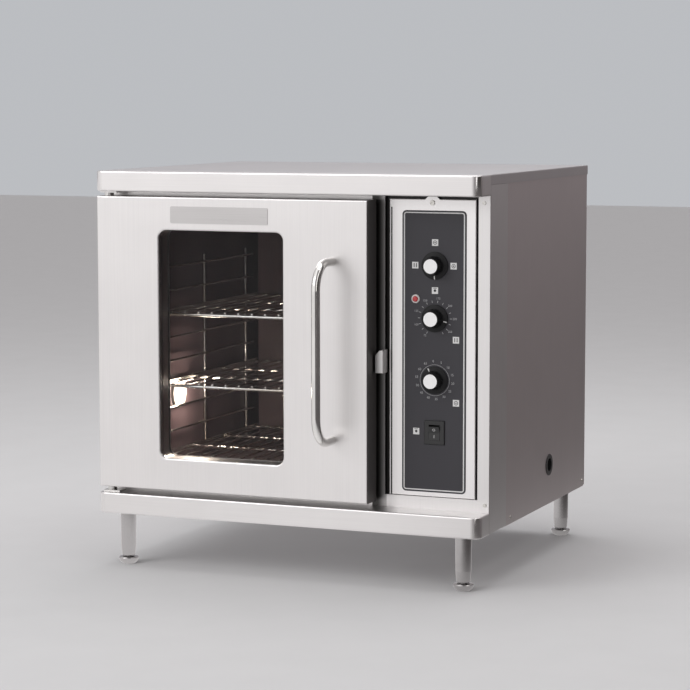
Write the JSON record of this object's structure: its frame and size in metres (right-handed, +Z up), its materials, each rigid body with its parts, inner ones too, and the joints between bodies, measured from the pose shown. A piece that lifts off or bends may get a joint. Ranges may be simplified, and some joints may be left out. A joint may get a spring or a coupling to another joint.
{
  "type": "convection oven",
  "caption": "Half-size countertop convection oven on four adjustable legs, with a side-hinged window door, wire racks, a rear blower and a column of knobs on the right.",
  "frame": {"origin": "on the table, at the middle of the whole width and depth, handle included", "axes": "+Z up, the front of the oven faces -Y, +X to the viewer's right"},
  "size_m": [0.768, 0.7318, 0.7504],
  "materials": {
    "stainless": "satin brushed stainless steel",
    "enamel": "dark porcelain enamel",
    "mineral_wool": "loose mineral wool blanket",
    "galvanised": "galvanised sheet",
    "motor_paint": "dark grey paint",
    "bright_steel": "bright plated steel",
    "gasket": "woven and silicone gasket, matt",
    "chromed_wire": "bright chromed wire, a little dulled by heat",
    "element_sheath": "dark oxidised sheath",
    "lamp": "clear bulb in a ceramic holder",
    "lens_glass": "clear heatproof glass",
    "overlay": "charcoal, fine grain",
    "switch_body": "moulded phenolic",
    "black_plastic": "moulded black",
    "black_knob": "moulded black",
    "red_lens": "clear red, in a pale ring",
    "magnet": "sintered, bare",
    "window_glass": "clear toughened glass",
    "polished": "polished stainless steel"
  },
  "bodies": {
    "oven_body": {"base_pan": "stainless", "bottom_band": "stainless", "top_band": "stainless", "side_panel_left": "stainless", "side_panel_right": "stainless", "top_cover": "stainless", "back_panel": "stainless", "front_frame": "stainless", "cavity_liner": "enamel", "insulation": "mineral_wool", "compartment_wall": "galvanised", "door_gasket": "gasket", "rack_guide_left": "chromed_wire", "rack_guide_right": "chromed_wire", "rear_baffle": "enamel", "heating_elements": "element_sheath", "motor_plate": "galvanised", "blower_motor": "motor_paint", "oven_lamp": "lamp", "lamp_lens": "lens_glass", "temperature_probe": "bright_steel", "control_panel": "stainless", "control_overlay": "overlay", "function_switch": "switch_body", "thermostat": "switch_body", "timer": "switch_body", "switch_housing": "black_plastic", "indicator_light": "red_lens", "contactor": "switch_body", "terminal_block": "switch_body", "conduit_bushing": "black_plastic", "leg_front_left": "polished", "leg_front_right": "polished", "leg_back_left": "polished", "leg_back_right": "polished", "hinge_pins": "bright_steel", "catch_bracket": "stainless", "catch_magnet": "magnet"},
    "door": {"door_skin": "stainless", "door_liner": "stainless", "outer_glass": "window_glass", "inner_glass": "window_glass", "window_frame": "stainless", "door_handle": "polished"},
    "rack_lower_tray": {"rack_lower": "chromed_wire"},
    "rack_middle_tray": {"rack_middle": "chromed_wire"},
    "rack_upper_tray": {"rack_upper": "chromed_wire"},
    "blower": {"blower_wheel": "galvanised", "motor_shaft": "bright_steel"},
    "function_control": {"function_knob": "black_knob", "function_spindle": "bright_steel"},
    "thermostat_control": {"thermostat_knob": "black_knob", "thermostat_spindle": "bright_steel"},
    "timer_control": {"timer_knob": "black_knob", "timer_spindle": "bright_steel"},
    "rocker": {"power_rocker": "black_plastic"},
    "foot_front_left_body": {"foot_front_left": "polished"},
    "foot_front_right_body": {"foot_front_right": "polished"},
    "foot_back_left_body": {"foot_back_left": "polished"},
    "foot_back_right_body": {"foot_back_right": "polished"}
  },
  "joints": [
    {"name": "door_hinge", "type": "hinge", "parent": "oven_body", "child": "door", "pos_m": [-0.365, -0.2585, 0.42], "axis": [0, 0, -1], "range_deg": [0, 130]},
    {"name": "blower_spin", "type": "hinge", "parent": "oven_body", "child": "blower", "pos_m": [-0.105, 0.3, 0.428], "axis": [0, 1, 0], "continuous": true},
    {"name": "rack_lower_slide", "type": "slide", "parent": "oven_body", "child": "rack_lower_tray", "axis": [0, -1, 0], "range_m": [0, 0.012]},
    {"name": "rack_middle_slide", "type": "slide", "parent": "oven_body", "child": "rack_middle_tray", "axis": [0, -1, 0], "range_m": [0, 0.012]},
    {"name": "rack_upper_slide", "type": "slide", "parent": "oven_body", "child": "rack_upper_tray", "axis": [0, -1, 0], "range_m": [0, 0.012]},
    {"name": "function_turn", "type": "hinge", "parent": "oven_body", "child": "function_control", "pos_m": [0.27875, -0.2285, 0.586], "axis": [0, 1, 0], "range_deg": [0, 270]},
    {"name": "thermostat_turn", "type": "hinge", "parent": "oven_body", "child": "thermostat_control", "pos_m": [0.27875, -0.2285, 0.4907], "axis": [0, 1, 0], "range_deg": [0, 300]},
    {"name": "timer_turn", "type": "hinge", "parent": "oven_body", "child": "timer_control", "pos_m": [0.27875, -0.2285, 0.3784], "axis": [0, 1, 0], "range_deg": [0, 330]},
    {"name": "rocker_tilt", "type": "hinge", "parent": "oven_body", "child": "rocker", "pos_m": [0.27875, -0.2255, 0.283], "axis": [-1, 0, 0], "range_deg": [0, 16]},
    {"name": "foot_front_left_screw", "type": "slide", "parent": "oven_body", "child": "foot_front_left_body", "axis": [0, 0, -1], "range_m": [0, 0.025]},
    {"name": "foot_front_right_screw", "type": "slide", "parent": "oven_body", "child": "foot_front_right_body", "axis": [0, 0, -1], "range_m": [0, 0.025]},
    {"name": "foot_back_left_screw", "type": "slide", "parent": "oven_body", "child": "foot_back_left_body", "axis": [0, 0, -1], "range_m": [0, 0.025]},
    {"name": "foot_back_right_screw", "type": "slide", "parent": "oven_body", "child": "foot_back_right_body", "axis": [0, 0, -1], "range_m": [0, 0.025]}
  ]
}
